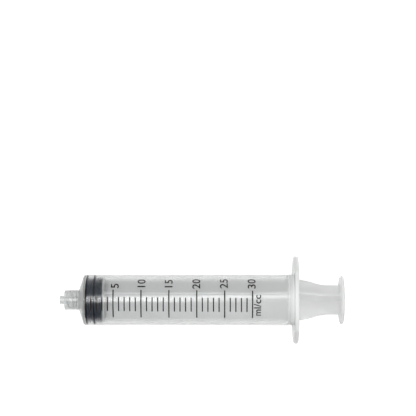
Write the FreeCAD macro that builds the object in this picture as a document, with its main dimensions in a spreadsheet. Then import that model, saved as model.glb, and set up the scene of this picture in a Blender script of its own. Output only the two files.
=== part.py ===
import FreeCAD, Part
import Sketcher
import math
import os

# Luer lock syringe of 30 ml, lying on its side with the plunger pushed fully in.
#
# Each piece is drawn along its own X axis, from the end of the luer cone back to the thumb disc,
# and then placed. In the finished frame X runs along the syringe with the luer cone at the low end,
# Y runs along the finger flange and Z points up. The origin is under the middle of the syringe, on
# the surface that the lower flat of the flange rests on.

SIZES = {
    # Male luer cone and its lumen. The taper is 6 percent on the diameter.
    "cone_end_diameter": 3.97,
    "cone_taper": 0.06,
    "cone_reach": 2.4,
    "cone_edge_chamfer": 0.2,
    "lumen_diameter": 2.2,
    # Lock collar round the cone, with its two-start internal thread
    "collar_length": 6.9,
    "collar_floor": 1.0,
    "collar_bore_diameter": 8.0,
    "collar_front_wall": 0.68,
    "collar_base_wall": 0.78,
    "collar_edge_chamfer": 0.25,
    "thread_lead": 5.0,
    "thread_depth": 0.5,
    "thread_root_width": 1.0,
    "thread_crest_width": 0.4,
    "thread_setback": 0.1,
    # Shoulder, as an angle from the axis, and the graduated tube with its slight draft
    "shoulder_angle": 71.5,
    "shoulder_wall": 1.2,
    "shoulder_round": 1.0,
    "bore_diameter": 22.0,
    "tube_front_wall": 1.0,
    "tube_rear_wall": 1.17,
    "barrel_length": 114.4,
    # Bead inside the mouth that keeps the stopper from being pulled out
    "bead_setback": 3.4,
    "bead_crest_width": 0.4,
    "bead_flank_length": 0.6,
    "bead_depth": 0.4,
    "mouth_chamfer": 0.3,
    # Finger flange: round ends joined by two flats
    "flange_width": 42.0,
    "flange_height": 27.5,
    "flange_thickness": 2.1,
    "flange_end_radius": 17.0,
    "flange_corner_round": 3.0,
    "flange_edge_chamfer": 0.4,
    # Rubber stopper: cone front, two sealing rings and a plain rear body
    "stopper_front_gap": 0.3,
    "stopper_nose_radius": 1.5,
    "ring_clearance": 0.06,
    "ring_edge_chamfer": 0.2,
    "front_ring_width": 1.15,
    "rear_ring_width": 1.35,
    "groove_width": 2.3,
    "groove_depth": 0.42,
    "stopper_rear_length": 2.9,
    "stopper_rear_depth": 0.27,
    "stopper_lip": 2.4,
    # Mushroom head and neck of the plunger, and their fit in the stopper
    "head_diameter": 10.4,
    "head_front_diameter": 6.0,
    "head_length": 3.4,
    "head_edge_length": 1.2,
    "neck_diameter": 6.4,
    "swivel_clearance": 0.08,
    "swivel_end_gap": 0.2,
    # Front disc and ribs of the plunger
    "disc_thickness": 1.2,
    "disc_clearance": 0.7,
    "rib_clearance": 0.8,
    "rib_thickness": 1.4,
    "waist_radius": 7.3,
    "waist_length": 5.5,
    "flare_crown_length": 10.1,
    "flare_throat_length": 6.4,
    "thumb_standoff": 20.1,
    "thumb_diameter": 23.2,
    "thumb_thickness": 1.7,
    "thumb_edge_chamfer": 0.5,
    "turn_angle": 67.0,
}

document = FreeCAD.newDocument("syringe")
sheet = document.addObject("Spreadsheet::Sheet", "Sizes")
for row, (alias, value) in enumerate(SIZES.items(), start=1):
    sheet.set(f"A{row}", alias)
    sheet.set(f"B{row}", str(value))
    sheet.setAlias(f"B{row}", alias)
document.recompute()

# Stations along the axis and radii round it, as expressions over the sheet

CONE_RADIUS = "(Sizes.cone_end_diameter / 2)"
CONE_SLOPE = "(Sizes.cone_taper / 2)"
LUMEN_RADIUS = "(Sizes.lumen_diameter / 2)"
COLLAR_FRONT = "Sizes.cone_reach"
COLLAR_BASE = f"({COLLAR_FRONT} + Sizes.collar_length)"
COLLAR_FLOOR = f"({COLLAR_BASE} - Sizes.collar_floor)"
COLLAR_BORE_RADIUS = "(Sizes.collar_bore_diameter / 2)"
COLLAR_FRONT_RADIUS = f"({COLLAR_BORE_RADIUS} + Sizes.collar_front_wall)"
COLLAR_RADIUS = f"({COLLAR_BORE_RADIUS} + Sizes.collar_base_wall)"

SHOULDER_SLOPE = "tan(Sizes.shoulder_angle)"
BORE_RADIUS = "(Sizes.bore_diameter / 2)"
TUBE_RADIUS = f"({BORE_RADIUS} + Sizes.tube_front_wall)"
SHOULDER_CORNER = f"({COLLAR_BASE} + ({TUBE_RADIUS} - {COLLAR_RADIUS}) / {SHOULDER_SLOPE})"
SHOULDER_SETBACK = "(Sizes.shoulder_round * tan(Sizes.shoulder_angle / 2))"
INNER_CONE_APEX = (
    f"({COLLAR_BASE} + Sizes.shoulder_wall / sin(Sizes.shoulder_angle)"
    f" - {COLLAR_RADIUS} / {SHOULDER_SLOPE})"
)
BARREL_END = "Sizes.barrel_length"
FLANGE_FRONT = f"({BARREL_END} - Sizes.flange_thickness)"
BEAD_CENTRE = f"({BARREL_END} - Sizes.bead_setback)"
BEAD_RADIUS = f"({BORE_RADIUS} - Sizes.bead_depth)"
BEAD_HALF_CREST = "(Sizes.bead_crest_width / 2)"
BEAD_HALF_WIDTH = f"({BEAD_HALF_CREST} + Sizes.bead_flank_length)"

STOPPER_APEX = f"({INNER_CONE_APEX} + Sizes.stopper_front_gap / sin(Sizes.shoulder_angle))"
RING_RADIUS = f"({BORE_RADIUS} - Sizes.ring_clearance)"
GROOVE_RADIUS = f"({RING_RADIUS} - Sizes.groove_depth)"
STOPPER_REAR_RADIUS = f"({RING_RADIUS} - Sizes.stopper_rear_depth)"
FRONT_RING = f"({STOPPER_APEX} + {RING_RADIUS} / {SHOULDER_SLOPE})"
FRONT_RING_END = f"({FRONT_RING} + Sizes.front_ring_width)"
REAR_RING = f"({FRONT_RING_END} + Sizes.groove_width)"
REAR_RING_END = f"({REAR_RING} + Sizes.rear_ring_width)"
STOPPER_END = f"({REAR_RING_END} + Sizes.stopper_rear_length)"

HEAD_RADIUS = "(Sizes.head_diameter / 2)"
HEAD_FRONT_RADIUS = "(Sizes.head_front_diameter / 2)"
NECK_RADIUS = "(Sizes.neck_diameter / 2)"
LIP_FRONT = f"({STOPPER_END} - Sizes.stopper_lip)"
HEAD_END = f"({LIP_FRONT} - Sizes.swivel_end_gap)"
HEAD_EDGE = f"({HEAD_END} - Sizes.head_edge_length)"
HEAD_FRONT = f"({HEAD_END} - Sizes.head_length)"

DISC_FRONT = f"({STOPPER_END} + Sizes.swivel_end_gap)"
DISC_END = f"({DISC_FRONT} + Sizes.disc_thickness)"
DISC_RADIUS = f"({BORE_RADIUS} - Sizes.disc_clearance)"
THUMB_FRONT = f"({BARREL_END} + Sizes.thumb_standoff)"
THUMB_END = f"({THUMB_FRONT} + Sizes.thumb_thickness)"
THUMB_RADIUS = "(Sizes.thumb_diameter / 2)"

RIB_RADIUS = f"({BORE_RADIUS} - Sizes.rib_clearance)"
FLARE_LENGTH = "(Sizes.flare_crown_length + Sizes.flare_throat_length)"
FLARE_DROP = f"({RIB_RADIUS} - Sizes.waist_radius)"
FLARE_END = f"({THUMB_FRONT} - Sizes.waist_length)"
FLARE_START = f"({FLARE_END} - {FLARE_LENGTH})"
FLARE_MIDDLE = f"({FLARE_START} + Sizes.flare_crown_length)"
FLARE_MIDDLE_RADIUS = f"({RIB_RADIUS} - {FLARE_DROP} * Sizes.flare_crown_length / {FLARE_LENGTH})"
# Two arcs that leave the straight ribs tangentially and meet tangentially, so that the radius of
# each goes with its own length.
FLARE_CURVE = f"(({FLARE_LENGTH}^2 + {FLARE_DROP}^2) / (2 * {FLARE_DROP} * {FLARE_LENGTH}))"
CROWN_RADIUS = f"(Sizes.flare_crown_length * {FLARE_CURVE})"
THROAT_RADIUS = f"(Sizes.flare_throat_length * {FLARE_CURVE})"


def number(expression):
    """Value of an expression over the sheet, in millimetres or degrees."""
    return float(sheet.evalExpression(expression))


def origin_feature(body, role):
    """Axis or plane of the body's own origin."""
    return next(feature for feature in body.Origin.OriginFeatures if feature.Role == role)


def hold_corner(sketch, edge, end, corner, coordinates):
    """Tie one end of an edge to its two coordinates, or to an axis where one of them is zero."""
    for kind, axis, label, expression in zip(("DistanceX", "DistanceY"), (-2, -1), "xy", coordinates):
        if expression == "0":
            sketch.addConstraint(Sketcher.Constraint("PointOnObject", edge, end, axis))
            continue
        place = Sketcher.Constraint(kind, -1, 1, edge, end, number(expression))
        index = sketch.addConstraint(place)
        sketch.renameConstraint(index, f"corner{corner}_{label}")
        sketch.setExpression(f"Constraints.corner{corner}_{label}", expression)


def arc_between(start, end, radius, turn):
    """Short arc from start to end that turns left (1) or right (-1) on the way."""
    chord = end - start
    to_left = FreeCAD.Vector(-chord.y, chord.x, 0).normalize()
    rise = math.sqrt(max(radius**2 - (chord.Length / 2) ** 2, 0))
    centre = start + chord / 2 + to_left * rise * turn
    first = (start if turn > 0 else end) - centre
    last = (end if turn > 0 else start) - centre
    circle = Part.Circle(centre, FreeCAD.Vector(0, 0, 1), radius)
    return Part.ArcOfCircle(circle, math.atan2(first.y, first.x), math.atan2(last.y, last.x))


def outline(body, name, role, path):
    """Closed sketch through the corners of path. A corner is two expressions, and one that an arc
    leaves adds the arc's turn and radius."""
    sketch = body.newObject("Sketcher::SketchObject", name)
    sketch.AttachmentSupport = [(origin_feature(body, role), "")]
    sketch.MapMode = "FlatFace"
    places = [FreeCAD.Vector(number(corner[0]), number(corner[1]), 0) for corner in path]
    edges = []
    for step, corner in enumerate(path):
        start = places[step]
        end = places[(step + 1) % len(path)]
        if len(corner) == 2:
            edges.append((sketch.addGeometry(Part.LineSegment(start, end)), 1, 2))
            continue
        turn = corner[2]
        radius = number(corner[3])
        edge = sketch.addGeometry(arc_between(start, end, radius, turn))
        index = sketch.addConstraint(Sketcher.Constraint("Radius", edge, radius))
        sketch.renameConstraint(index, f"arc{step}_radius")
        sketch.setExpression(f"Constraints.arc{step}_radius", corner[3])
        edges.append((edge, 1, 2) if turn > 0 else (edge, 2, 1))
    for step, corner in enumerate(path):
        edge, begin, _ = edges[step]
        before, _, finish = edges[step - 1]
        sketch.addConstraint(Sketcher.Constraint("Coincident", before, finish, edge, begin))
        hold_corner(sketch, edge, begin, step, corner[:2])
    return sketch


def turned(body, kind, name, path):
    """Revolution or Groove of an outline round the body's X axis."""
    feature = body.newObject(f"PartDesign::{kind}", name)
    feature.Profile = outline(body, f"{name}_outline", "XY_Plane", path)
    feature.ReferenceAxis = (origin_feature(body, "X_Axis"), [""])
    feature.Angle = 360
    document.recompute()
    return feature


def trimmed(body, name, base, kind, size, wanted):
    """Fillet or Chamfer on the edges of base that pass the test wanted(first point, last point)."""
    edges = []
    for index, edge in enumerate(base.Shape.Edges, start=1):
        if wanted(edge.Vertexes[0].Point, edge.Vertexes[-1].Point):
            edges.append(f"Edge{index}")
    feature = body.newObject(f"PartDesign::{kind}", name)
    feature.Base = (base, edges)
    feature.setExpression("Radius" if kind == "Fillet" else "Size", size)
    document.recompute()
    return feature


def patterned(body, name, feature, count):
    """The feature repeated evenly round the body's X axis."""
    pattern = body.newObject("PartDesign::PolarPattern", name)
    pattern.Originals = [feature]
    pattern.Axis = (origin_feature(body, "X_Axis"), [""])
    pattern.Angle = 360
    pattern.Occurrences = count
    body.Tip = pattern
    document.recompute()


def place(body):
    """Put a piece on the syringe's axis, half a flange above the surface."""
    body.setExpression("Placement.Base.x", f"-{THUMB_END} / 2")
    body.setExpression("Placement.Base.z", "Sizes.flange_height / 2")


def new_body(label):
    body = document.addObject("PartDesign::Body", label)
    body.Label = label
    return body


def build_flange(body):
    """Finger flange with two flats, round ends and a broken rim."""
    end_centre = "(Sizes.flange_width / 2 - Sizes.flange_end_radius)"
    half_height = "(Sizes.flange_height / 2)"
    half_flat = f"({end_centre} + sqrt(Sizes.flange_end_radius^2 - {half_height}^2))"
    flange = body.newObject("PartDesign::Pad", "finger_flange")
    sketch = outline(body, "finger_flange_outline", "YZ_Plane", [
        (half_flat, f"-{half_height}", 1, "Sizes.flange_end_radius"),
        (half_flat, half_height),
        (f"-{half_flat}", half_height, 1, "Sizes.flange_end_radius"),
        (f"-{half_flat}", f"-{half_height}"),
    ])
    sketch.setExpression("AttachmentOffset.Base.z", FLANGE_FRONT)
    flange.Profile = sketch
    flange.setExpression("Length", "Sizes.flange_thickness")
    document.recompute()
    corners = trimmed(
        body, "flange_corners", flange, "Fillet", "Sizes.flange_corner_round",
        lambda first, last: abs(first.x - last.x) > 0.001,
    )
    trimmed(
        body, "flange_rim", corners, "Chamfer", "Sizes.flange_edge_chamfer",
        lambda first, last: abs(first.x - last.x) < 0.001,
    )


def build_collar_thread(body):
    """Two ridges of a right-hand thread inside the lock collar, which a hub's lugs run along."""
    middle = f"({COLLAR_FRONT} + Sizes.thread_setback + Sizes.thread_root_width / 2)"
    root_radius = f"({COLLAR_BORE_RADIUS} + Sizes.collar_front_wall / 10)"
    crest_radius = f"({COLLAR_BORE_RADIUS} - Sizes.thread_depth)"
    ridge = body.newObject("PartDesign::AdditiveHelix", "thread_ridge")
    ridge.Profile = outline(body, "thread_ridge_outline", "XY_Plane", [
        (f"{middle} - Sizes.thread_root_width / 2", root_radius),
        (f"{middle} + Sizes.thread_root_width / 2", root_radius),
        (f"{middle} + Sizes.thread_crest_width / 2", crest_radius),
        (f"{middle} - Sizes.thread_crest_width / 2", crest_radius),
    ])
    ridge.ReferenceAxis = (origin_feature(body, "X_Axis"), [""])
    ridge.Mode = "pitch-height-angle"
    ridge.setExpression("Pitch", "Sizes.thread_lead")
    ridge.setExpression("Height", f"{COLLAR_FLOOR} - {middle} - Sizes.thread_crest_width / 2")
    document.recompute()
    patterned(body, "collar_thread", ridge, 2)


def build_barrel():
    """Luer cone, lock collar, shoulder, graduated tube and finger flange in one moulding."""
    body = new_body("barrel")
    build_flange(body)
    cone_floor_radius = f"({CONE_RADIUS} + {CONE_SLOPE} * {COLLAR_FLOOR})"
    turned(body, "Revolution", "outer_form", [
        ("0", "0"),
        ("0", f"{CONE_RADIUS} - Sizes.cone_edge_chamfer"),
        ("Sizes.cone_edge_chamfer", CONE_RADIUS),
        (COLLAR_FLOOR, cone_floor_radius),
        (COLLAR_FLOOR, COLLAR_BORE_RADIUS),
        (COLLAR_FRONT, COLLAR_BORE_RADIUS),
        (COLLAR_FRONT, f"{COLLAR_FRONT_RADIUS} - Sizes.collar_edge_chamfer"),
        (f"{COLLAR_FRONT} + Sizes.collar_edge_chamfer", COLLAR_FRONT_RADIUS),
        (COLLAR_BASE, COLLAR_RADIUS),
        (
            f"{SHOULDER_CORNER} - {SHOULDER_SETBACK} * cos(Sizes.shoulder_angle)",
            f"{TUBE_RADIUS} - {SHOULDER_SETBACK} * sin(Sizes.shoulder_angle)",
            -1,
            "Sizes.shoulder_round",
        ),
        (f"{SHOULDER_CORNER} + {SHOULDER_SETBACK}", TUBE_RADIUS),
        (BARREL_END, f"{BORE_RADIUS} + Sizes.tube_rear_wall"),
        (BARREL_END, "0"),
    ])
    build_collar_thread(body)
    turned(body, "Groove", "lumen_and_bore", [
        ("0", "0"),
        ("0", LUMEN_RADIUS),
        (f"{INNER_CONE_APEX} + {LUMEN_RADIUS} / {SHOULDER_SLOPE}", LUMEN_RADIUS),
        (f"{INNER_CONE_APEX} + {BORE_RADIUS} / {SHOULDER_SLOPE}", BORE_RADIUS),
        (f"{BEAD_CENTRE} - {BEAD_HALF_WIDTH}", BORE_RADIUS),
        (f"{BEAD_CENTRE} - {BEAD_HALF_CREST}", BEAD_RADIUS),
        (f"{BEAD_CENTRE} + {BEAD_HALF_CREST}", BEAD_RADIUS),
        (f"{BEAD_CENTRE} + {BEAD_HALF_WIDTH}", BORE_RADIUS),
        (f"{BARREL_END} - Sizes.mouth_chamfer", BORE_RADIUS),
        (BARREL_END, f"{BORE_RADIUS} + Sizes.mouth_chamfer"),
        (BARREL_END, "0"),
    ])
    place(body)
    return body


def build_stopper():
    """Rubber stopper with two sealing rings and the hollow that snaps over the plunger's head."""
    body = new_body("stopper")
    ring_edge = f"({RING_RADIUS} - Sizes.ring_edge_chamfer)"
    hollow_radius = f"({HEAD_RADIUS} + Sizes.swivel_clearance)"
    hollow_front_radius = f"({HEAD_FRONT_RADIUS} + Sizes.swivel_clearance)"
    neck_hole_radius = f"({NECK_RADIUS} + Sizes.swivel_clearance)"
    nose = f"({STOPPER_APEX} + Sizes.stopper_nose_radius / {SHOULDER_SLOPE})"
    turned(body, "Revolution", "stopper_form", [
        (nose, "0"),
        (nose, "Sizes.stopper_nose_radius"),
        (FRONT_RING, RING_RADIUS),
        (f"{FRONT_RING_END} - Sizes.ring_edge_chamfer", RING_RADIUS),
        (FRONT_RING_END, ring_edge),
        (FRONT_RING_END, GROOVE_RADIUS),
        (REAR_RING, GROOVE_RADIUS),
        (REAR_RING, ring_edge),
        (f"{REAR_RING} + Sizes.ring_edge_chamfer", RING_RADIUS),
        (f"{REAR_RING_END} - Sizes.ring_edge_chamfer", RING_RADIUS),
        (REAR_RING_END, ring_edge),
        (REAR_RING_END, STOPPER_REAR_RADIUS),
        (STOPPER_END, STOPPER_REAR_RADIUS),
        (STOPPER_END, neck_hole_radius),
        (LIP_FRONT, neck_hole_radius),
        (LIP_FRONT, hollow_radius),
        (HEAD_EDGE, hollow_radius),
        (f"{HEAD_FRONT} - Sizes.swivel_end_gap", hollow_front_radius),
        (f"{HEAD_FRONT} - Sizes.swivel_end_gap", "0"),
    ])
    place(body)
    return body


def build_plunger():
    """Mushroom head, neck, front disc, four flared ribs and thumb disc in one moulding."""
    body = new_body("plunger")
    turned(body, "Revolution", "head_and_disc", [
        (HEAD_FRONT, "0"),
        (HEAD_FRONT, HEAD_FRONT_RADIUS),
        (HEAD_EDGE, HEAD_RADIUS),
        (HEAD_END, HEAD_RADIUS),
        (HEAD_END, NECK_RADIUS),
        (DISC_FRONT, NECK_RADIUS),
        (DISC_FRONT, DISC_RADIUS),
        (DISC_END, DISC_RADIUS),
        (DISC_END, "0"),
    ])

    rib = body.newObject("PartDesign::Pad", "rib")
    rib.Profile = outline(body, "rib_outline", "XY_Plane", [
        (DISC_FRONT, "0"),
        (THUMB_FRONT, "0"),
        (THUMB_FRONT, "Sizes.waist_radius"),
        (FLARE_END, "Sizes.waist_radius", -1, THROAT_RADIUS),
        (FLARE_MIDDLE, FLARE_MIDDLE_RADIUS, 1, CROWN_RADIUS),
        (FLARE_START, RIB_RADIUS),
        (DISC_FRONT, RIB_RADIUS),
    ])
    rib.SideType = "Symmetric"
    rib.setExpression("Length", "Sizes.rib_thickness")
    document.recompute()
    patterned(body, "ribs", rib, 4)
    turned(body, "Revolution", "thumb_disc", [
        (THUMB_FRONT, "0"),
        (THUMB_FRONT, f"{THUMB_RADIUS} - Sizes.thumb_edge_chamfer"),
        (f"{THUMB_FRONT} + Sizes.thumb_edge_chamfer", THUMB_RADIUS),
        (f"{THUMB_END} - Sizes.thumb_edge_chamfer", THUMB_RADIUS),
        (THUMB_END, f"{THUMB_RADIUS} - Sizes.thumb_edge_chamfer"),
        (THUMB_END, "0"),
    ])
    quarter_turn = FreeCAD.Rotation(FreeCAD.Vector(1, 0, 0), 90)
    body.Placement = FreeCAD.Placement(FreeCAD.Vector(), quarter_turn)
    body.setExpression("Placement.Rotation.Angle", "Sizes.turn_angle")
    place(body)
    return body


bodies = [build_barrel(), build_stopper(), build_plunger()]
document.recompute()

for item in document.Objects:
    if "Invalid" in item.State or "Error" in item.State:
        raise RuntimeError(f"{item.Name} could not be built: {item.State}")
for body in bodies:
    if body.Shape.isNull() or not body.Shape.isValid() or len(body.Shape.Solids) != 1:
        raise RuntimeError(f"{body.Label} is not one sound solid")

os.makedirs("parts", exist_ok=True)
for body in bodies:
    body.Shape.exportStep(f"parts/{body.Label}.step")
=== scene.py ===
import math

import bmesh
import bpy
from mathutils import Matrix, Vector


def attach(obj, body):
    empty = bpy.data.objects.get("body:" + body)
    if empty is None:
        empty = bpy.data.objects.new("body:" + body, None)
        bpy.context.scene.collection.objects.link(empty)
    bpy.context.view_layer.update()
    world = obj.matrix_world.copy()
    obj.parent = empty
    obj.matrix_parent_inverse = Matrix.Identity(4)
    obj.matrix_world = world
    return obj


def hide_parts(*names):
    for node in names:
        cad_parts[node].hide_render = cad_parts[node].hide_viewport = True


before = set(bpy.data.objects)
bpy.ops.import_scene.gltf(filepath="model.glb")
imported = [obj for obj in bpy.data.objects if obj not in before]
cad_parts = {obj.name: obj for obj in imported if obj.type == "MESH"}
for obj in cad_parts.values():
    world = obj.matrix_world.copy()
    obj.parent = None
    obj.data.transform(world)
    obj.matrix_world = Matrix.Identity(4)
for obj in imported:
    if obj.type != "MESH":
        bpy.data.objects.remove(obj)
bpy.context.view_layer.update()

# The syringe's sizes are in millimetres: x along it from the end of the luer cone, and r from its
# axis. The finger flange rests on its lower flat, so the axis is half the flange's height up.
MM = 0.001
OVERALL = 136.2
AXIS_HEIGHT = 13.75

# How finely the skins are divided, and the angle from which an edge stays sharp
AROUND = 240
STOPPER_AROUND = 192
ARC_STEP = math.radians(12.0)
HOLD = 0.12
SHARP_ANGLE = math.radians(32.0)


def place(x, y, z):
    """Frame coordinates of a point given from the luer end and the axis."""
    return Vector(((x - OVERALL / 2) * MM, y * MM, (z + AXIS_HEIGHT) * MM))


def corner_arc(before, here, after, rounding):
    """Points of the arc that rounds the corner here, between its two neighbours."""
    back = (before - here).normalized()
    ahead = (after - here).normalized()
    half = back.angle(ahead) / 2
    centre = here + (back + ahead).normalized() * (rounding / math.sin(half))
    first = here + back * (rounding / math.tan(half)) - centre
    turn = math.pi - 2 * half
    side = 1 if back.x * ahead.y - back.y * ahead.x < 0 else -1
    count = max(2, math.ceil(turn / ARC_STEP))
    arc = []
    for step in range(count + 1):
        angle = side * turn * step / count
        cos_a, sin_a = math.cos(angle), math.sin(angle)
        arc.append(centre + Vector((first.x * cos_a - first.y * sin_a,
                                    first.x * sin_a + first.y * cos_a)))
    return arc


def soften(corners, longest=4.0):
    """Fine profile through corners of (x, r, rounding), with rows held close to each rounding."""
    arcs = []
    for index, (x, r, rounding) in enumerate(corners):
        here = Vector((x, r))
        if rounding == 0 or index in (0, len(corners) - 1):
            arcs.append([here])
        else:
            before, after = Vector(corners[index - 1][:2]), Vector(corners[index + 1][:2])
            arcs.append(corner_arc(before, here, after, rounding))
    points = list(arcs[0])
    for arc, following in zip(arcs, arcs[1:]):
        start, end = arc[-1], following[0]
        length = (end - start).length
        if length > 3 * HOLD:
            inner = length - 2 * HOLD
            count = max(1, math.ceil(inner / longest))
            for step in range(count + 1):
                points.append(start.lerp(end, (HOLD + inner * step / count) / length))
        points.extend(following)
    return points


def ring(x, r, count=AROUND):
    angles = [2 * math.pi * k / count for k in range(count)]
    return [(x, r * math.cos(a), r * math.sin(a)) for a in angles]


def finished(name, bm):
    """Object in the scene from a mesh in the making, smooth shaded."""
    for face in bm.faces:
        face.smooth = True
    mesh = bpy.data.meshes.new(name)
    bm.to_mesh(mesh)
    bm.free()
    piece = bpy.data.objects.new(name, mesh)
    bpy.context.scene.collection.objects.link(piece)
    return piece


def closed_piece(name, bm):
    """Object from a closed mesh, with its faces turned outwards and its sharp edges kept."""
    bmesh.ops.recalc_face_normals(bm, faces=bm.faces)
    for edge in bm.edges:
        edge.smooth = edge.calc_face_angle(0) < SHARP_ANGLE
    return finished(name, bm)


def skin(name, rows, caps=False):
    """Closed surface over rows of points. It runs round from the last row to the first, or is
    closed by a fan at each end."""
    bm = bmesh.new()
    grid = [[bm.verts.new(place(*point)) for point in row] for row in rows]
    count = len(rows[0])
    pairs = list(zip(grid, grid[1:]))
    if caps:
        for row, inwards in ((grid[0], True), (grid[-1], False)):
            middle = bm.verts.new(sum((v.co for v in row), Vector()) / count)
            for k in range(count):
                corner = (middle, row[(k + 1) % count], row[k])
                bm.faces.new(corner if inwards else corner[::-1])
    else:
        pairs.append((grid[-1], grid[0]))
    for low, high in pairs:
        for k in range(count):
            after = (k + 1) % count
            bm.faces.new((low[k], low[after], high[after], high[k]))
    return closed_piece(name, bm)


# Barrel: one skin that runs from the luer lumen round the outside, the flange and the bore

LUMEN = 1.1
LUMEN_SEAM = 6.0
LUMEN_END = 9.334
CONE_END = 1.985
CONE_SLOPE = 0.03

COLLAR_FRONT = 2.4
COLLAR_FLOOR = 8.3
COLLAR_BASE = 9.3
COLLAR_BORE = 4.0
COLLAR_FRONT_RADIUS = 4.68
COLLAR_RADIUS = 4.78

# A ridge of the thread crosses the bore's +Y side at THREAD_PLACE, and fades in and out over
# THREAD_FADE at its two ends.
THREAD_DEPTH = 0.5
THREAD_LEAD = 5.0
THREAD_STARTS = 2
THREAD_HALF = 0.5
THREAD_FLANK = 0.3
THREAD_PLACE = 3.0
THREAD_FRONT = 2.75
THREAD_BACK = 8.35
THREAD_FADE = 0.35
THREAD_ROWS = 68

SHOULDER_CORNER = 11.716
TUBE_START = 12.44
TUBE_RADIUS = 12.0
TUBE_DRAFT = 0.17
BORE = 11.0
BORE_START = 12.647
BARREL_END = 114.4
BEAD_CENTRE = 111.0
BEAD_HALF = 0.8
BEAD_DEPTH = 0.4
BEAD_STEPS = 16

# A round band lies on each face of the flange before its own outline starts: FLANGE_BAND wide
# round the tube, and MOUTH_BAND wide round the mouth. The rim is rounded by FLANGE_ROUND.
FLANGE_FRONT = 112.3
FLANGE_BAND = 0.55
MOUTH_BAND = 1.0
FLANGE_ROUND = 0.6
FLANGE_STEPS = 8

# The flats are FLAT_HALF long each way from the middle. The round ends have their centres
# END_CENTRE from it, and rounded corners join the two.
FLAT_HALF = 12.969
END_CENTRE = 4.0
END_RADIUS = 17.0
CORNER_ROUND = 3.0
CORNER_UP = AXIS_HEIGHT - CORNER_ROUND


def tube_radius(x):
    return TUBE_RADIUS + TUBE_DRAFT * (x - TUBE_START) / (BARREL_END - TUBE_START)


def share(value):
    """Value held between zero and one."""
    return min(max(value, 0), 1)


def thread_height(x, angle):
    """Height of the thread's ridges over the collar's bore."""
    along = x - THREAD_PLACE - THREAD_LEAD * angle / (2 * math.pi)
    pitch = THREAD_LEAD / THREAD_STARTS
    off = (along + pitch / 2) % pitch - pitch / 2
    centre = x - off
    fade = share((centre - THREAD_FRONT) / THREAD_FADE) * share((THREAD_BACK - centre) / THREAD_FADE)
    flank = share((THREAD_HALF - abs(off)) / THREAD_FLANK)
    return THREAD_DEPTH * flank * flank * (3 - 2 * flank) * fade


def thread_row(x):
    row = []
    for k in range(AROUND):
        angle = 2 * math.pi * k / AROUND
        r = COLLAR_BORE - thread_height(x, angle)
        row.append((x, r * math.cos(angle), r * math.sin(angle)))
    return row


def flange_row(x, inset):
    """Flats above and below, round ends and rounded corners, moved inwards by inset."""
    corner = CORNER_ROUND - inset
    end_top = CORNER_UP + corner * CORNER_UP / (END_RADIUS - CORNER_ROUND)
    row = []
    for k in range(AROUND):
        angle = 2 * math.pi * k / AROUND
        y, z = abs(math.cos(angle)), abs(math.sin(angle))
        radius = (AXIS_HEIGHT - inset) / max(z, 1e-9)
        if radius * y > FLAT_HALF:
            radius = END_CENTRE * y + math.sqrt((END_RADIUS - inset) ** 2 - (END_CENTRE * z) ** 2)
            if radius * z > end_top:
                along = FLAT_HALF * y + CORNER_UP * z
                across = FLAT_HALF * z - CORNER_UP * y
                radius = along + math.sqrt(corner**2 - across**2)
        row.append((x, radius * math.cos(angle), radius * math.sin(angle)))
    return row


def flange_rows():
    """Front face, rounded rim and back face of the flange."""
    rim = [(0, FLANGE_ROUND + HOLD)]
    for step in range(FLANGE_STEPS + 1):
        angle = math.pi / 2 * step / FLANGE_STEPS
        rim.append((FLANGE_ROUND * (1 - math.cos(angle)), FLANGE_ROUND * (1 - math.sin(angle))))
    rim.append((FLANGE_ROUND + HOLD, 0))
    front = [flange_row(FLANGE_FRONT + depth, inset) for depth, inset in rim]
    return front + [flange_row(BARREL_END - depth, inset) for depth, inset in reversed(rim)]


def barrel_rows():
    thread_start = COLLAR_FRONT + 0.3
    thread_end = COLLAR_FLOOR - 0.25
    cone = soften([
        (LUMEN_SEAM, LUMEN, 0),
        (0, LUMEN, 0.07),
        (0, CONE_END, 0.2),
        (COLLAR_FLOOR, CONE_END + CONE_SLOPE * COLLAR_FLOOR, 0.2),
        (COLLAR_FLOOR, COLLAR_BORE, 0.1),
        (thread_end, COLLAR_BORE, 0),
    ])
    rows = [ring(x, r) for x, r in cone]
    for step in range(1, THREAD_ROWS):
        rows.append(thread_row(thread_end + (thread_start - thread_end) * step / THREAD_ROWS))
    foot = tube_radius(FLANGE_FRONT)
    outside = soften([
        (thread_start, COLLAR_BORE, 0),
        (COLLAR_FRONT, COLLAR_BORE, 0.15),
        (COLLAR_FRONT, COLLAR_FRONT_RADIUS, 0.25),
        (COLLAR_BASE, COLLAR_RADIUS, 0.35),
        (SHOULDER_CORNER, TUBE_RADIUS, 1.0),
        (FLANGE_FRONT, foot, 0.35),
        (FLANGE_FRONT, foot + FLANGE_BAND, 0),
    ])
    rows += [ring(x, r) for x, r in outside]
    rows += flange_rows()
    bead = []
    for step in range(BEAD_STEPS + 1):
        along = BEAD_HALF * (1 - 2 * step / BEAD_STEPS)
        rise = BEAD_DEPTH / 2 * (1 + math.cos(math.pi * along / BEAD_HALF))
        bead.append((BEAD_CENTRE + along, BORE - rise, 0))
    inside = soften([
        (BARREL_END, BORE + MOUTH_BAND, 0),
        (BARREL_END, BORE, 0.35),
        *bead,
        (BORE_START, BORE, 0.4),
        (LUMEN_END, LUMEN, 0.3),
        (LUMEN_SEAM + 0.1, LUMEN, 0),
    ])
    rows += [ring(x, r) for x, r in inside]
    return rows


barrel = skin("barrel_moulding", barrel_rows())
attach(barrel, "barrel")
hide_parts("barrel")

# Mushroom head and neck of the plunger, and the play that the stopper's hollow leaves them

HEAD_FRONT = 14.643
HEAD_EDGE = 16.843
HEAD_END = 18.043
HEAD_FRONT_RADIUS = 3.0
HEAD_RADIUS = 5.2
NECK_RADIUS = 3.2
SWIVEL_PLAY = 0.08
END_PLAY = 0.2

# Stopper: cone front, two rounded rings that press on the bore, and the hollow for the head

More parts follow.
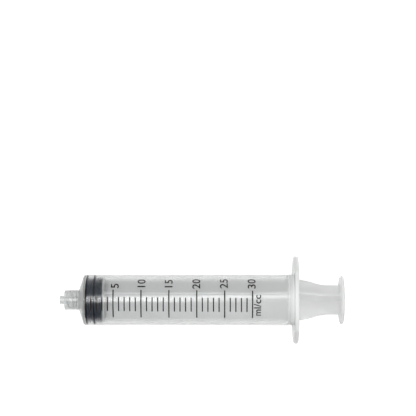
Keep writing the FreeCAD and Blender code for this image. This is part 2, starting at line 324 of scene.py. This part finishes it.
RING = BORE + 0.012
NOSE_FRONT = 9.784
NOSE_RADIUS = 1.5
FRONT_RING = 12.93
FRONT_RING_END = 14.093
REAR_RING = 16.393
REAR_RING_END = 17.743
STOPPER_END = 20.643
GROOVE_RADIUS = 10.52
STOPPER_REAR_RADIUS = 10.67
STOPPER_FAN = 0.3


def stopper_rows():
    lip = HEAD_END + END_PLAY
    hollow_front = HEAD_FRONT - END_PLAY
    profile = soften([
        (NOSE_FRONT, STOPPER_FAN, 0),
        (NOSE_FRONT, NOSE_RADIUS, 0.6),
        (FRONT_RING, RING, 0.35),
        (FRONT_RING_END, RING, 0.32),
        (FRONT_RING_END, GROOVE_RADIUS, 0.15),
        (REAR_RING, GROOVE_RADIUS, 0.15),
        (REAR_RING, RING, 0.32),
        (REAR_RING_END, RING, 0.3),
        (REAR_RING_END, STOPPER_REAR_RADIUS, 0.03),
        (STOPPER_END, STOPPER_REAR_RADIUS, 0.3),
        (STOPPER_END, NECK_RADIUS + SWIVEL_PLAY, 0.25),
        (lip, NECK_RADIUS + SWIVEL_PLAY, 0.15),
        (lip, HEAD_RADIUS + SWIVEL_PLAY, 0.15),
        (HEAD_EDGE, HEAD_RADIUS + SWIVEL_PLAY, 0.25),
        (hollow_front, HEAD_FRONT_RADIUS + SWIVEL_PLAY, 0.3),
        (hollow_front, STOPPER_FAN, 0),
    ], longest=1.0)
    return [ring(x, r, STOPPER_AROUND) for x, r in profile]


stopper = skin("stopper_rubber", stopper_rows(), caps=True)
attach(stopper, "stopper")
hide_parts("stopper")

# Plunger: head, neck and front disc, four ribs that flare in behind the flange, and thumb disc

PLUNGER_FAN = 0.4
DISC_THICKNESS = 1.2
DISC_FRONT = STOPPER_END + END_PLAY
DISC_END = DISC_FRONT + DISC_THICKNESS
DISC_RADIUS = 10.3
DISC_BAND = 0.4

# Ribs, with a fillet at each end. At the front disc their tips start FOOT_SETBACK further in.
RIB = 10.2
RIB_HALF = 0.7
RIB_TURN = math.radians(67.0)
TIP_ROUND = 0.3
ROOT_ROUND = 0.55
ROUND_STEPS = 3
SIDE_SHARES = (0.03, 0.2, 0.4, 0.6, 0.8, 0.95)
FILLET = 0.4
FILLET_STEPS = 4
FILLET_HOLD = 0.15
FOOT_SETBACK = 0.65

# The ribs narrow to the waist over a crown arc and a throat arc, which meet in FLARE_MIDDLE.
WAIST = 7.3
FLARE_START = 112.5
FLARE_MIDDLE = 122.6
FLARE_END = 129.0
CROWN = 29.62
THROAT = 18.77

# Sections lie RIB_SPACING apart up to FLARE_APPROACH before the flare, and FLARE_SPACING apart in
# it. One more lies FLARE_HOLD before it and one FLARE_HOLD after.
RIB_SPACING = 3.0
FLARE_APPROACH = 4.0
FLARE_SPACING = 0.75
FLARE_HOLD = 0.5

# The thumb disc's rim is a half round, and a gate mark, as (depth, r), is sunk in its middle.
THUMB_FRONT = 134.5
THUMB_ROUND = 0.85
THUMB_RIM = 10.75
THUMB_STEPS = 16
THUMB_HOLD = 0.1
THUMB_BAND = 1.6
BACK_ROW = 6.0
GATE_MARK = ((0, 1.75), (0.03, 1.6), (0.12, 1.5), (0.15, 1.35), (0.15, PLUNGER_FAN))


def rib_radius(x):
    if x <= FLARE_START:
        return RIB
    if x <= FLARE_MIDDLE:
        return RIB - CROWN + math.sqrt(CROWN**2 - (x - FLARE_START) ** 2)
    if x <= FLARE_END:
        return WAIST + THROAT - math.sqrt(THROAT**2 - (FLARE_END - x) ** 2)
    return WAIST


def half_arm(reach, grow):
    """Half of one rib's section, from the rib's tip to the root that it shares with the next."""
    half = RIB_HALF + grow
    tip = TIP_ROUND + grow
    root = ROOT_ROUND - grow
    end = reach + grow
    points = []
    for step in range(ROUND_STEPS + 1):
        angle = math.pi / 2 * step / ROUND_STEPS
        points.append((end - tip + tip * math.cos(angle), half - tip + tip * math.sin(angle)))
    start, stop = end - tip, half + root
    for part in SIDE_SHARES:
        points.append((start + (stop - start) * part, half))
    for step in range(ROUND_STEPS + 1):
        angle = math.pi / 4 * step / ROUND_STEPS
        points.append((stop - root * math.sin(angle), half + root * (1 - math.cos(angle))))
    return points


def rib_section(x, reach, grow=0.0):
    """Cross of four ribs with softened tips and roots, as one row of points."""
    half = half_arm(reach, grow)
    arm = [(u, -v) for u, v in reversed(half[:-1])] + [(u, v) for u, v in half]
    row = []
    for quarter in range(4):
        turn = RIB_TURN + quarter * math.pi / 2
        cos_t, sin_t = math.cos(turn), math.sin(turn)
        row += [(x, u * cos_t - v * sin_t, u * sin_t + v * cos_t) for u, v in arm]
    return row


SECTION = len(rib_section(0, RIB))


def disc_ring(x, r):
    """Ring with as many points as a rib section, starting at the same place."""
    arm = SECTION // 4
    row = []
    for k in range(SECTION):
        angle = RIB_TURN + 2 * math.pi * (k - (arm - 1) / 2) / SECTION
        row.append((x, r * math.cos(angle), r * math.sin(angle)))
    return row


def rib_stations():
    """Places of the ribs' sections between the fillets at their two ends."""
    stations = [DISC_END + FILLET + FILLET_HOLD]
    while stations[-1] < FLARE_START - FLARE_APPROACH:
        stations.append(stations[-1] + RIB_SPACING)
    stations.append(FLARE_START - FLARE_HOLD)
    x = FLARE_START
    while x < FLARE_END:
        stations.append(x)
        x += FLARE_SPACING
    return stations + [FLARE_END, FLARE_END + FLARE_HOLD, THUMB_FRONT - FILLET - FILLET_HOLD]


def thumb_rows():
    back = THUMB_FRONT + 2 * THUMB_ROUND
    profile = [(THUMB_FRONT, WAIST + THUMB_BAND), (THUMB_FRONT, THUMB_RIM - THUMB_HOLD)]
    for step in range(THUMB_STEPS + 1):
        angle = math.pi * step / THUMB_STEPS
        profile.append((THUMB_FRONT + THUMB_ROUND * (1 - math.cos(angle)),
                        THUMB_RIM + THUMB_ROUND * math.sin(angle)))
    profile += [(back, THUMB_RIM - THUMB_HOLD), (back, BACK_ROW)]
    profile += [(back - depth, r) for depth, r in GATE_MARK]
    return [disc_ring(x, r) for x, r in profile]


def plunger_rows():
    front = soften([
        (HEAD_FRONT, PLUNGER_FAN, 0),
        (HEAD_FRONT, HEAD_FRONT_RADIUS, 0.25),
        (HEAD_EDGE, HEAD_RADIUS, 0.25),
        (HEAD_END, HEAD_RADIUS, 0.2),
        (HEAD_END, NECK_RADIUS, 0.3),
        (DISC_FRONT, NECK_RADIUS, 0.3),
        (DISC_FRONT, DISC_RADIUS, 0.2),
        (DISC_END, DISC_RADIUS, 0.2),
        (DISC_END, DISC_RADIUS - DISC_BAND, 0),
    ])
    rows = [disc_ring(x, r) for x, r in front]
    quarter = [math.pi / 2 * step / FILLET_STEPS for step in range(FILLET_STEPS + 1)]
    for angle in quarter:
        low = 1 - math.sin(angle)
        x = DISC_END + FILLET * (1 - math.cos(angle))
        rows.append(rib_section(x, RIB - FOOT_SETBACK * low, FILLET * low))
    rows += [rib_section(x, rib_radius(x)) for x in rib_stations()]
    for angle in quarter:
        x = THUMB_FRONT - FILLET * (1 - math.sin(angle))
        rows.append(rib_section(x, WAIST, FILLET * (1 - math.cos(angle))))
    return rows + thumb_rows()


plunger = skin("plunger_moulding", plunger_rows(), caps=True)
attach(plunger, "plunger")
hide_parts("plunger")

# Printed scale: a line each millilitre, a long one and a number each five, and the unit

CAPACITY = 30
LONG_EVERY = 5
ZERO_LINE = 13.08
MILLILITRE = 2.6421
INK_LOW = 0.004
INK_HIGH = 0.024

# A line is its half arc in degrees, its half width and its steps round the tube. Its edges wander
# by a wave along the line, which starts at another place on each.
LONG_LINE = (33.3, 0.3, 48)
SHORT_LINE = (16.3, 0.28, 24)
WANDER = 0.012
WANDER_BY_STEP = 7.3
WANDER_BY_LINE = 2.1

# The middle of the print, in degrees round from the top: at the first number, and how much it
# gains from there to the last
LEAN_PLACE = 26.4
LEAN_LENGTH = 65.8
LEAN = -6.2
LEAN_GAIN = -2.5

# For each number, its offset from its line and its start, in degrees round from the print's middle
NUMBERS = {5: (0.63, 37.1), 10: (0.04, 40.0), 15: (-0.26, 40.0),
           20: (-0.35, 36.8), 25: (-0.46, 38.2), 30: (-0.48, 38.3)}
NUMBER_HEIGHT = 3.85
NUMBER_STRETCH = 1.17
NUMBER_BASE = 1.92
UNIT_HEIGHT = 3.45
UNIT_STRETCH = 1.055
UNIT_BASE = 3.95
UNIT_START = math.radians(-34.4)

# Height of a figure as a share of the font's size, how much its strokes are thickened, and how
# wide the slices are that let letters bend
FIGURE_SHARE = 0.727
THICKENED = 0.06
LETTER_SLICE = 0.25


def wrap(x, angle, height):
    """Point over the tube. The angle is from the top of the tube towards the flange's +Y end."""
    r = tube_radius(x) + height
    return place(x, r * math.sin(angle), r * math.cos(angle))


def scale_lean(x):
    """The print sits a little round the tube, more towards the flange."""
    return math.radians(LEAN + LEAN_GAIN * (x - LEAN_PLACE) / LEAN_LENGTH)


def scale_lines():
    bm = bmesh.new()
    for mark in range(CAPACITY + 1):
        x = ZERO_LINE + MILLILITRE * mark
        half_degrees, half_width, steps = LONG_LINE if mark % LONG_EVERY == 0 else SHORT_LINE
        half_arc = math.radians(half_degrees)
        rows = []
        for step in range(steps + 1):
            angle = scale_lean(x) + half_arc * (2 * step / steps - 1)
            half = half_width + WANDER * math.sin(WANDER_BY_STEP * step + WANDER_BY_LINE * mark)
            edges = ((-half, INK_LOW), (half, INK_LOW), (half, INK_HIGH), (-half, INK_HIGH))
            rows.append([bm.verts.new(wrap(x + side, angle, height)) for side, height in edges])
        for low, high in zip(rows, rows[1:]):
            for k in range(4):
                bm.faces.new((low[k], low[(k + 1) % 4], high[(k + 1) % 4], high[k]))
        bm.faces.new(rows[0])
        bm.faces.new(rows[-1][::-1])
    return closed_piece("scale_lines", bm)


def lettering(text, height, stretch):
    """Flat letters as a closed mesh, as (along the line, up, thickness) from the line's start. It
    is cut into slices, so that it can bend round the tube."""
    curve = bpy.data.curves.new("letters", "FONT")
    curve.body = text
    curve.size = height / FIGURE_SHARE
    curve.resolution_u = 6
    curve.extrude = 0.5
    curve.offset = THICKENED
    holder = bpy.data.objects.new("letters", curve)
    bpy.context.scene.collection.objects.link(holder)
    bpy.context.view_layer.update()
    graph = bpy.context.evaluated_depsgraph_get()
    flat = bpy.data.meshes.new_from_object(holder.evaluated_get(graph))
    bpy.data.objects.remove(holder)
    bpy.data.curves.remove(curve)
    bm = bmesh.new()
    bm.from_mesh(flat)
    bpy.data.meshes.remove(flat)
    bmesh.ops.remove_doubles(bm, verts=bm.verts, dist=1e-4)
    start = min(v.co.x for v in bm.verts)
    for vert in bm.verts:
        vert.co.x = (vert.co.x - start) * stretch
    cut = LETTER_SLICE
    while cut < max(v.co.x for v in bm.verts):
        everything = list(bm.verts) + list(bm.edges) + list(bm.faces)
        bmesh.ops.bisect_plane(bm, geom=everything, plane_co=(cut, 0, 0), plane_no=(1, 0, 0))
        cut += LETTER_SLICE
    return bm


def printed(bm, text, height, stretch, base, start_angle):
    """Letters bent round the tube, read towards +Y, with their feet at base."""
    letters = lettering(text, height, stretch)
    moved = {}
    for vert in letters.verts:
        x = base - vert.co.y
        angle = start_angle + vert.co.x / tube_radius(x)
        moved[vert] = bm.verts.new(wrap(x, angle, INK_HIGH if vert.co.z > 0 else INK_LOW))
    for face in letters.faces:
        bm.faces.new([moved[v] for v in face.verts])
    letters.free()


def scale_words():
    bm = bmesh.new()
    for volume, (offset, turn) in NUMBERS.items():
        x = ZERO_LINE + MILLILITRE * volume + offset
        start = scale_lean(x) + math.radians(turn)
        printed(bm, str(volume), NUMBER_HEIGHT, NUMBER_STRETCH, x + NUMBER_BASE, start)
    x = ZERO_LINE + MILLILITRE * CAPACITY
    printed(bm, "ml/cc", UNIT_HEIGHT, UNIT_STRETCH, x + UNIT_BASE, UNIT_START)
    return closed_piece("scale_numbers", bm)


lines = scale_lines()
words = scale_words()
for piece in (lines, words):
    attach(piece, "barrel")


# Materials. Noise and levels go by object space, where one unit is a metre.

# Inputs and output of a colour mix, which share their names with those of other kinds
MIX_FACTOR, MIX_FIRST, MIX_SECOND, MIX_RESULT = 0, 6, 7, 2


def set_inputs(node, values):
    for name, value in values.items():
        node.inputs[name].default_value = value


def new_node(tree, kind, values=None):
    node = tree.nodes.new(kind)
    set_inputs(node, values or {})
    return node


def new_material(name):
    material = bpy.data.materials.new(name)
    material.use_nodes = True
    return material, material.node_tree, material.node_tree.nodes["Principled BSDF"]


def noise(tree, scale, detail=3.0):
    coordinates = new_node(tree, "ShaderNodeTexCoord")
    texture = new_node(tree, "ShaderNodeTexNoise", {"Scale": scale, "Detail": detail})
    tree.links.new(coordinates.outputs["Object"], texture.inputs["Vector"])
    return texture.outputs["Fac"]


def blend_colours(tree, factor, low, high):
    ramp = new_node(tree, "ShaderNodeValToRGB")
    for element, position, colour in zip(ramp.color_ramp.elements, (0.35, 0.65), (low, high)):
        element.position = position
        element.color = (*colour, 1)
    tree.links.new(factor, ramp.inputs["Fac"])
    return ramp.outputs["Color"]


def spread(tree, factor, low, high):
    """Levels from low to high over the middle of the noise's range."""
    span = new_node(tree, "ShaderNodeMapRange",
                    {"From Min": 0.3, "From Max": 0.7, "To Min": low, "To Max": high})
    tree.links.new(factor, span.inputs["Value"])
    return span.outputs["Result"]


def bump(tree, shader, height, strength, distance):
    node = new_node(tree, "ShaderNodeBump", {"Strength": strength, "Distance": distance})
    tree.links.new(height, node.inputs["Height"])
    tree.links.new(node.outputs["Normal"], shader.inputs["Normal"])


def ray_is(tree, *kinds):
    """One for a ray of any of these kinds, and zero for the rest."""
    path = new_node(tree, "ShaderNodeLightPath")
    level = path.outputs[kinds[0]]
    for kind in kinds[1:]:
        either = new_node(tree, "ShaderNodeMath")
        either.operation = "MAXIMUM"
        tree.links.new(level, either.inputs[0])
        tree.links.new(path.outputs[kind], either.inputs[1])
        level = either.outputs["Value"]
    return level


def mix_shaders(tree, factor, first, second):
    """Shader that goes from first to second as the factor goes from zero to one."""
    mix = new_node(tree, "ShaderNodeMixShader")
    tree.links.new(factor, mix.inputs["Fac"])
    tree.links.new(first, mix.inputs[1])
    tree.links.new(second, mix.inputs[2])
    return mix.outputs["Shader"]


def lets_light_through(tree, shader, tint):
    """Lamps reach what is behind the plastic, dimmed by its tint."""
    clear = new_node(tree, "ShaderNodeBsdfTransparent", {"Color": (*tint, 1)})
    shadow = ray_is(tree, "Is Shadow Ray")
    mixed = mix_shaders(tree, shadow, shader.outputs["BSDF"], clear.outputs["BSDF"])
    tree.links.new(mixed, tree.nodes["Material Output"].inputs["Surface"])


def lengthwise(tree, stops):
    """Colours or levels at places along the syringe, blended between them."""
    coordinates = new_node(tree, "ShaderNodeTexCoord")
    parts = new_node(tree, "ShaderNodeSeparateXYZ")
    tree.links.new(coordinates.outputs["Object"], parts.inputs["Vector"])
    along = new_node(tree, "ShaderNodeMapRange",
                     {"From Min": place(0, 0, 0).x, "From Max": place(OVERALL, 0, 0).x})
    tree.links.new(parts.outputs["X"], along.inputs["Value"])
    ramp = new_node(tree, "ShaderNodeValToRGB")
    elements = ramp.color_ramp.elements
    while len(elements) < len(stops):
        elements.new(0.5)
    for element, (x, value) in zip(elements, stops):
        element.position = x / OVERALL
        element.color = (*value, 1) if isinstance(value, tuple) else (value, value, value, 1)
    tree.links.new(along.outputs["Result"], ramp.inputs["Fac"])
    return ramp.outputs["Color"]


def clouded(tree, colour, scale, depth):
    """Colour made up to depth darker in soft clouds."""
    mix = new_node(tree, "ShaderNodeMix")
    mix.data_type = "RGBA"
    mix.blend_type = "MULTIPLY"
    mix.inputs[MIX_FACTOR].default_value = 1.0
    shade = blend_colours(tree, noise(tree, scale), (1 - depth,) * 3, (1, 1, 1))
    tree.links.new(colour, mix.inputs[MIX_FIRST])
    tree.links.new(shade, mix.inputs[MIX_SECOND])
    return mix.outputs[MIX_RESULT]


def barrel_plastic():
    """Clear along the tube, and cloudy at the luer end and from just before the bead back. Its tint
    is darker at the luer end: painted shade for the light trapped in the collar.
    """
    material, tree, shader = new_material("clear_polypropylene")
    clear = (0.89, 0.895, 0.895)
    # Darker tint up to 11.6 mm is painted shade for the light trapped in the collar; the flange end
    # is lighter.
    tint = lengthwise(tree, [(11.6, (0.77, 0.78, 0.782)), (12.6, clear),
                             (109.0, clear), (112.2, (0.93, 0.94, 0.94))])
    clearness = lengthwise(tree, [(8.9, 0.8), (9.6, 0.5), (11.6, 0.5), (12.6, 1.0),
                                  (108.8, 1.0), (112.2, 0.15)])
    cover = lengthwise(tree, [(11.6, 0.85), (12.6, 1.0), (108.8, 1.0), (111.4, 0.65),
                              (112.0, 0.65), (112.6, 0.85)])
    roughness = spread(tree, noise(tree, 420.0), 0.195, 0.215)
    tree.links.new(clouded(tree, tint, 90.0, 0.04), shader.inputs["Base Color"])
    tree.links.new(clearness, shader.inputs["Transmission Weight"])
    tree.links.new(cover, shader.inputs["Alpha"])
    tree.links.new(roughness, shader.inputs["Roughness"])
    set_inputs(shader, {"IOR": 1.49, "Specular Tint": (0.7, 0.7, 0.7, 1)})
    lets_light_through(tree, shader, (0.9, 0.9, 0.9))
    haze = new_node(tree, "ShaderNodeVolumeAbsorption",
                    {"Color": (0.6, 0.62, 0.6, 1), "Density": 108.0})
    tree.links.new(haze.outputs["Volume"], tree.nodes["Material Output"].inputs["Volume"])
    return material


def plunger_plastic():
    """Milky and lit from within. It greys towards the stopper: painted shade for the light that
    reaches less far into the barrel.
    """
    material, tree, shader = new_material("natural_polypropylene")
    # The tint darkens from the thumb end towards the stopper: painted shade, not a colour of the
    # plastic.
    tint = lengthwise(tree, [(22.0, (0.7, 0.715, 0.72)), (95.0, (0.9, 0.912, 0.912)),
                             (111.0, (0.92, 0.93, 0.93)), (116.0, (0.93, 0.94, 0.94))])
    roughness = spread(tree, noise(tree, 500.0), 0.28, 0.38)
    tree.links.new(clouded(tree, tint, 110.0, 0.04), shader.inputs["Base Color"])
    tree.links.new(roughness, shader.inputs["Roughness"])
    bump(tree, shader, noise(tree, 900.0, 2.0), 0.06, 0.0002)
    set_inputs(shader, {"IOR": 1.49, "Alpha": 0.7, "Subsurface Weight": 1.0,
                        "Subsurface Radius": (1.0, 1.0, 1.0), "Subsurface Scale": 0.012})
    return material


def stopper_rubber():
    material, tree, shader = new_material("black_rubber")
    bloom = noise(tree, 260.0, 4.0)
    colour = blend_colours(tree, bloom, (0.002, 0.006, 0.013), (0.005, 0.011, 0.021))
    roughness = spread(tree, noise(tree, 700.0), 0.34, 0.5)
    tree.links.new(colour, shader.inputs["Base Color"])
    tree.links.new(roughness, shader.inputs["Roughness"])
    bump(tree, shader, noise(tree, 1500.0, 2.0), 0.1, 0.0001)
    set_inputs(shader, {"IOR": 1.5, "Specular IOR Level": 0.1})
    return material


def print_ink():
    material, tree, shader = new_material("scale_ink")
    grain = noise(tree, 2500.0, 2.0)
    colour = blend_colours(tree, grain, (0.014, 0.011, 0.01), (0.04, 0.033, 0.029))
    roughness = spread(tree, noise(tree, 1200.0), 0.6, 0.8)
    tree.links.new(colour, shader.inputs["Base Color"])
    tree.links.new(roughness, shader.inputs["Roughness"])
    set_inputs(shader, {"Specular IOR Level": 0.1})
    return material


def dress(piece, material):
    piece.data.materials.clear()
    piece.data.materials.append(material)


dress(barrel, barrel_plastic())
dress(plunger, plunger_plastic())
dress(stopper, stopper_rubber())
ink = print_ink()
dress(lines, ink)
dress(words, ink)


# Stage: a pale floor, soft lamps and the camera over the syringe

# Half the floor's side in metres, and the glow that makes it white to the camera
FLOOR_HALF = 1.2
FLOOR_GLOW = 0.5

# The world goes from dim to bright as its direction's Y goes from -WORLD_REACH to WORLD_REACH.
WORLD_REACH = 0.8
WORLD_DIM = 0.12
WORLD_BRIGHT = 0.75

# Each lamp is its name, its centre and two sides in metres, and its radiance.
LAMPS = (
    ("key_left", (-0.10, 0.13, 1.25), 0.15, 0.5, 19.0),
    ("strip_right", (0.08, 0.41, 1.25), 0.22, 0.09, 27.0),
    ("fill_left", (-0.8, -0.9, 1.0), 1.0, 1.0, 1.2),
    ("fill_right", (1.0, -0.6, 1.0), 1.0, 1.0, 2.4),
)

# The camera looks straight down, and its frame's half side is HALF_VIEW at the syringe's axis.
SENSOR = 36.0
HALF_VIEW = 100.05
CAMERA_X = 71.24
CAMERA_Y = 44.18
CAMERA_RISE = 700.0


def build_floor():
    bm = bmesh.new()
    corners = [(x * FLOOR_HALF, y * FLOOR_HALF, 0) for x, y in ((-1, -1), (1, -1), (1, 1), (-1, 1))]
    bm.faces.new([bm.verts.new(corner) for corner in corners])
    floor = finished("floor", bm)
    material, tree, shader = new_material("floor_white")
    set_inputs(shader, {"Base Color": (0.8, 0.8, 0.8, 1), "Roughness": 1.0,
                        "Specular IOR Level": 0.0, "Emission Color": (1, 1, 1, 1)})
    glow = new_node(tree, "ShaderNodeMath")
    glow.operation = "MULTIPLY"
    glow.inputs[1].default_value = FLOOR_GLOW
    seen = ray_is(tree, "Is Camera Ray", "Is Glossy Ray", "Is Transmission Ray")
    tree.links.new(seen, glow.inputs[0])
    tree.links.new(glow.outputs["Value"], shader.inputs["Emission Strength"])
    dress(floor, material)


def build_world():
    """Soft light that is stronger from +Y, and plain white to the camera and through the plastic."""
    world = bpy.data.worlds.new("studio")
    bpy.context.scene.world = world
    world.use_nodes = True
    tree = world.node_tree
    direction = new_node(tree, "ShaderNodeTexCoord")
    parts = new_node(tree, "ShaderNodeSeparateXYZ")
    tree.links.new(direction.outputs["Generated"], parts.inputs["Vector"])
    side = new_node(tree, "ShaderNodeMapRange",
                    {"From Min": -WORLD_REACH, "From Max": WORLD_REACH,
                     "To Min": WORLD_DIM, "To Max": WORLD_BRIGHT})
    tree.links.new(parts.outputs["Y"], side.inputs["Value"])
    soft = tree.nodes["Background"]
    set_inputs(soft, {"Color": (1, 1, 1, 1)})
    tree.links.new(side.outputs["Result"], soft.inputs["Strength"])
    white = new_node(tree, "ShaderNodeBackground", {"Color": (1, 1, 1, 1), "Strength": 1.0})
    seen = ray_is(tree, "Is Camera Ray", "Is Transmission Ray")
    mixed = mix_shaders(tree, seen, soft.outputs["Background"], white.outputs["Background"])
    tree.links.new(mixed, tree.nodes["World Output"].inputs["Surface"])


def build_lamp(name, centre, size_x, size_y, radiance):
    """Rectangular lamp that faces straight down."""
    lamp = bpy.data.lights.new(name, "AREA")
    lamp.shape = "RECTANGLE"
    lamp.size = size_x
    lamp.size_y = size_y
    lamp.energy = radiance * math.pi * size_x * size_y
    holder = bpy.data.objects.new(name, lamp)
    holder.location = centre
    bpy.context.scene.collection.objects.link(holder)


def build_camera():
    camera = bpy.data.cameras.new("camera")
    camera.sensor_width = SENSOR
    camera.lens = SENSOR / 2 / (HALF_VIEW / CAMERA_RISE)
    camera.clip_start = 0.01
    holder = bpy.data.objects.new("camera", camera)
    holder.location = place(CAMERA_X, CAMERA_Y, CAMERA_RISE)
    bpy.context.scene.collection.objects.link(holder)
    bpy.context.scene.camera = holder


build_floor()
build_world()
for lamp in LAMPS:
    build_lamp(*lamp)
build_camera()
bpy.context.scene.view_settings.view_transform = "Standard"
paths = bpy.context.scene.cycles
paths.max_bounces = 24
paths.glossy_bounces = 16
paths.transmission_bounces = 24
paths.sample_clamp_indirect = 2.0
paths.min_light_bounces = 8
paths.use_light_tree = False
